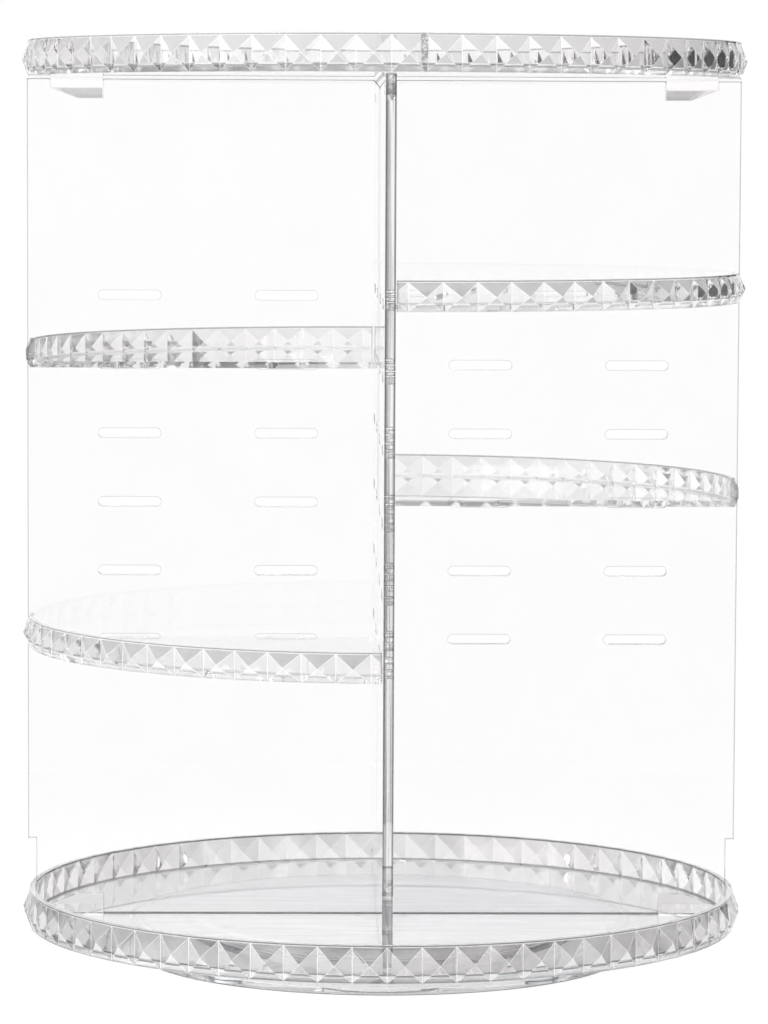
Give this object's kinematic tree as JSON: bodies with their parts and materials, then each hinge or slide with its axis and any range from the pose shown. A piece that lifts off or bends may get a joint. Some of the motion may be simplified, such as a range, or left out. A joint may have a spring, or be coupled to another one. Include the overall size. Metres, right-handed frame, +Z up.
{
  "type": "rotating makeup organizer",
  "caption": "Clear round cosmetics tower: crossed slotted panels between diamond-rimmed round trays, quarter trays that draw out of the slots, on a ball-ring turntable foot.",
  "frame": {"origin": "on the turning axis, in the plane of the foot pads' undersides, which rest on the table", "axes": "+Z up along the turning axis, -Y towards the viewer of the picture, X along the panel that is seen face-on"},
  "size_m": [0.2298, 0.2298, 0.292],
  "materials": {
    "clear_plastic": "clear, glossy, injection moulded, with polished diamond facets",
    "pad_rubber": "matt translucent silicone",
    "cage_plastic": "satin natural nylon",
    "ball_plastic": "polished white acetal",
    "fastener_steel": "bright zinc plated"
  },
  "bodies": {
    "stand": {"turntable_foot": "clear_plastic", "foot_pad_1": "pad_rubber", "foot_pad_2": "pad_rubber", "foot_pad_3": "pad_rubber", "foot_pad_4": "pad_rubber"},
    "ball_ring": {"ball_cage": "cage_plastic", "bearing_ball_01": "ball_plastic", "bearing_ball_02": "ball_plastic", "bearing_ball_03": "ball_plastic", "bearing_ball_04": "ball_plastic", "bearing_ball_05": "ball_plastic", "bearing_ball_06": "ball_plastic", "bearing_ball_07": "ball_plastic", "bearing_ball_08": "ball_plastic", "bearing_ball_09": "ball_plastic", "bearing_ball_10": "ball_plastic", "bearing_ball_11": "ball_plastic", "bearing_ball_12": "ball_plastic"},
    "tower": {"base_tray": "clear_plastic", "pivot_washer": "fastener_steel", "pivot_screw": "fastener_steel", "panel_left_right": "clear_plastic", "panel_front_back": "clear_plastic", "top_tray": "clear_plastic"},
    "front_right_tray": {"quarter_tray_front_right": "clear_plastic"},
    "back_left_tray": {"quarter_tray_back_left": "clear_plastic"},
    "back_right_tray": {"quarter_tray_back_right": "clear_plastic"},
    "front_left_tray": {"quarter_tray_front_left": "clear_plastic"}
  },
  "joints": [
    {"name": "turntable_spin", "type": "hinge", "parent": "stand", "child": "tower", "pos_m": [0, 0, 0.005], "axis": [0, 0, 1], "continuous": true},
    {"name": "ball_ring_spin", "type": "hinge", "parent": "stand", "child": "ball_ring", "pos_m": [0, 0, 0.005], "axis": [0, 0, 1], "continuous": true},
    {"name": "front_right_tray_draw", "type": "slide", "parent": "tower", "child": "front_right_tray", "axis": [0.7071, -0.7071, 0], "range_m": [0, 0.03]},
    {"name": "back_left_tray_draw", "type": "slide", "parent": "tower", "child": "back_left_tray", "axis": [-0.7071, 0.7071, 0], "range_m": [0, 0.03]},
    {"name": "back_right_tray_draw", "type": "slide", "parent": "tower", "child": "back_right_tray", "axis": [0.7071, 0.7071, 0], "range_m": [0, 0.03]},
    {"name": "front_left_tray_draw", "type": "slide", "parent": "tower", "child": "front_left_tray", "axis": [-0.7071, -0.7071, 0], "range_m": [0, 0.03]}
  ],
  "couplings": [
    {"joint": "ball_ring_spin", "follows": "turntable_spin", "ratio": 0.5}
  ]
}
